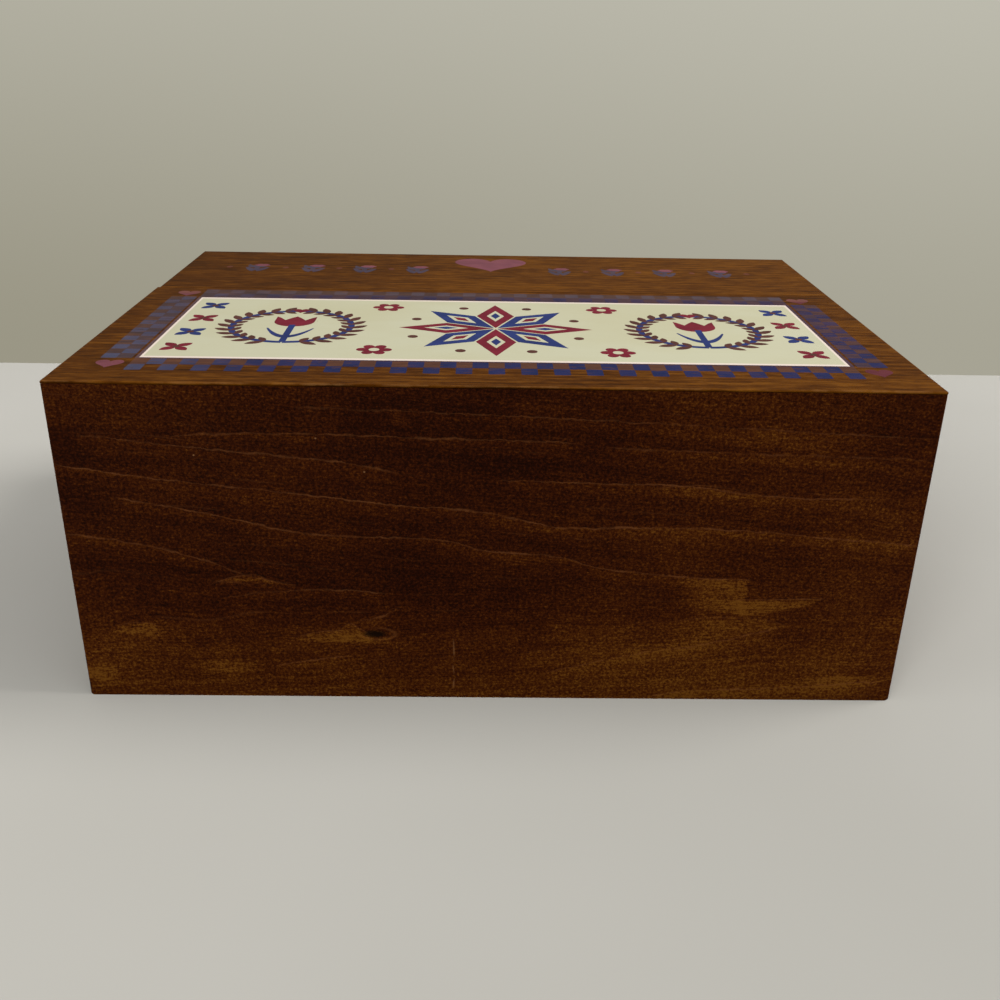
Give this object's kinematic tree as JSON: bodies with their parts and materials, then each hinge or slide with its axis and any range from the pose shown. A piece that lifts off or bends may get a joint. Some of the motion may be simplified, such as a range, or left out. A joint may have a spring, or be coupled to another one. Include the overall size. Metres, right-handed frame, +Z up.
{
  "type": "greeting card organizer",
  "caption": "Stained pine box with a hinged two-board lid, a printed top, and numbered dividers in a wide and a narrow card row.",
  "frame": {"origin": "centre of the base, on the surface that the box stands on", "axes": "+X to the right as the lid's picture is read, +Y to the back, where the hinges are, +Z up"},
  "size_m": [0.35, 0.255, 0.143],
  "materials": {
    "front_pine": "satin dark stain",
    "case_pine": "satin dark stain",
    "lid_pine": "satin stain with a printed picture",
    "inner_pine": "plain, thin stain",
    "floor_plywood": "bare plywood",
    "dowel_beech": "bare",
    "divider_board": "matt pressed board",
    "hinge_brass": "aged brass",
    "pin_steel": "plain",
    "brad_steel": "plain"
  },
  "bodies": {
    "case": {"front_board": "front_pine", "back_board": "case_pine", "left_side": "case_pine", "right_side": "case_pine", "bottom_panel": "floor_plywood", "partition": "inner_pine", "side_brads": "brad_steel", "bottom_brads": "brad_steel", "hinge_case_leaf_left": "hinge_brass", "hinge_case_leaf_right": "hinge_brass", "hinge_pin_left": "pin_steel", "hinge_pin_right": "pin_steel", "hinge_case_screws": "hinge_brass", "divider_01": "divider_board", "divider_02": "divider_board", "divider_03": "divider_board", "divider_04": "divider_board", "divider_05": "divider_board", "divider_06": "divider_board", "divider_07": "divider_board", "divider_08": "divider_board", "divider_09": "divider_board", "divider_10": "divider_board", "divider_11": "divider_board", "divider_12": "divider_board"},
    "lid": {"lid_front_board": "lid_pine", "lid_rear_board": "lid_pine", "lid_dowels": "dowel_beech", "hinge_lid_leaf_left": "hinge_brass", "hinge_lid_leaf_right": "hinge_brass", "hinge_lid_screws": "hinge_brass"}
  },
  "joints": [
    {"name": "lid_hinge", "type": "hinge", "parent": "case", "child": "lid", "pos_m": [0, 0.1255, 0.1348], "axis": [-1, 0, 0], "range_deg": [0, 100]}
  ]
}
